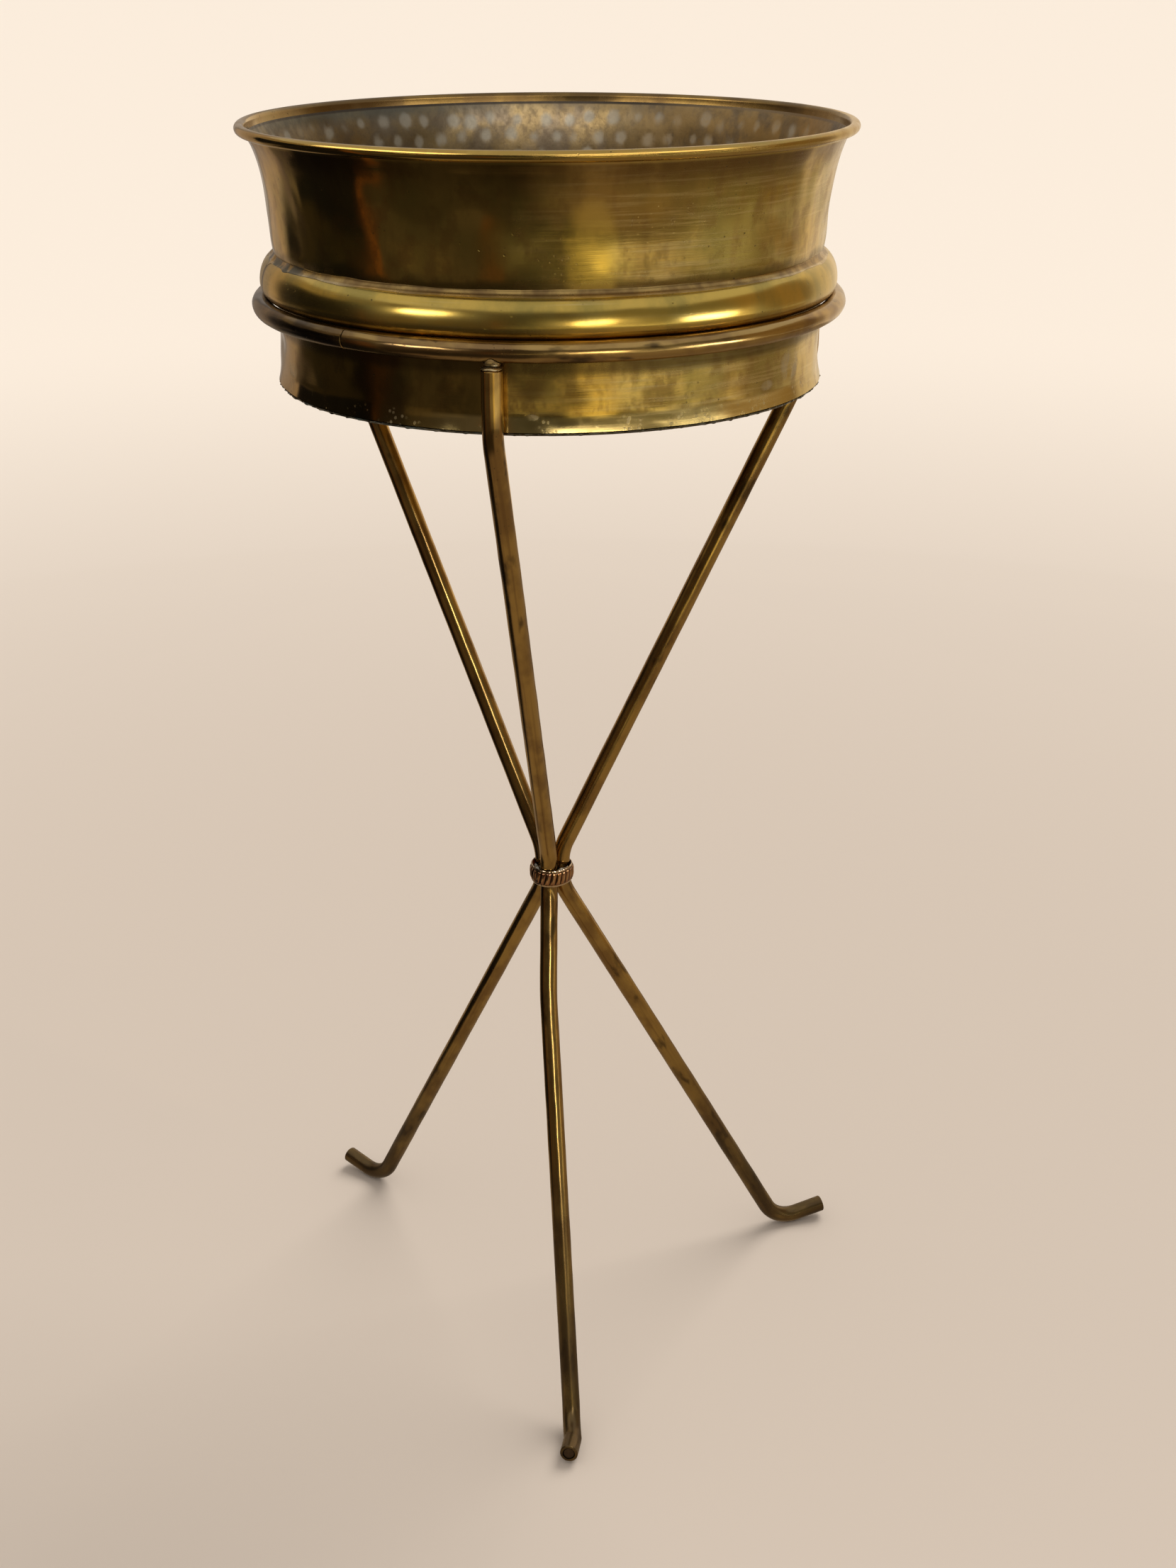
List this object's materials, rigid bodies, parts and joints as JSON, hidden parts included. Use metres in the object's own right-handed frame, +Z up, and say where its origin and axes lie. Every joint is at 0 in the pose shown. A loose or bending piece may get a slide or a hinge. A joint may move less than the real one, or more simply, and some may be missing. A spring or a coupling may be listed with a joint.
{
  "type": "champagne bucket stand",
  "caption": "Free-standing brass champagne bucket: a flared round tub that lifts out of a ring on three bent tube legs gathered by a reeded collar.",
  "frame": {"origin": "on the floor, under the middle of the whole stand's bounding box", "axes": "+Z up along the tub's axis, -Y towards the front leg, +X to the right of a person facing the front leg"},
  "size_m": [0.3278, 0.3298, 0.6971],
  "materials": {
    "tub_brass": "old satin polish with fine level scratches, brown patina and small dents",
    "bead_brass": "brighter polish, darker in the joints",
    "ring_brass": "worn brown patina, rubbed bright on top",
    "leg_brass": "brown-gold drawn tube with dark patina spots, darker towards the feet",
    "collar_brass": "coppery pressed strip with pale edges",
    "tinned_lining": "dull hammered tinning, grey-white round marks over brown-gold",
    "solder": "dull grey solder",
    "rim_steel": "plain drawn wire, hidden in the rim"
  },
  "bodies": {
    "stand": {"support_ring": "ring_brass", "ring_joint_dowel": "ring_brass", "front_leg": "leg_brass", "front_leg_plug": "leg_brass", "front_ring_pin": "leg_brass", "front_ring_braze": "solder", "front_foot_plug": "leg_brass", "right_leg": "leg_brass", "right_leg_plug": "leg_brass", "right_ring_pin": "leg_brass", "right_ring_braze": "solder", "right_foot_plug": "leg_brass", "left_leg": "leg_brass", "left_leg_plug": "leg_brass", "left_ring_pin": "leg_brass", "left_ring_braze": "solder", "left_foot_plug": "leg_brass", "collar": "collar_brass", "collar_solder_front_right": "solder", "collar_solder_back": "solder", "collar_solder_front_left": "solder"},
    "tub": {"tub_wall": "tub_brass", "rim_wire": "rim_steel", "liner": "tinned_lining", "base_disc": "tub_brass", "base_solder": "solder", "bead": "bead_brass", "bead_solder": "solder"}
  },
  "joints": [
    {"name": "tub_lift", "type": "slide", "parent": "stand", "child": "tub", "axis": [0, 0, 1], "range_m": [0, 0.15]}
  ]
}
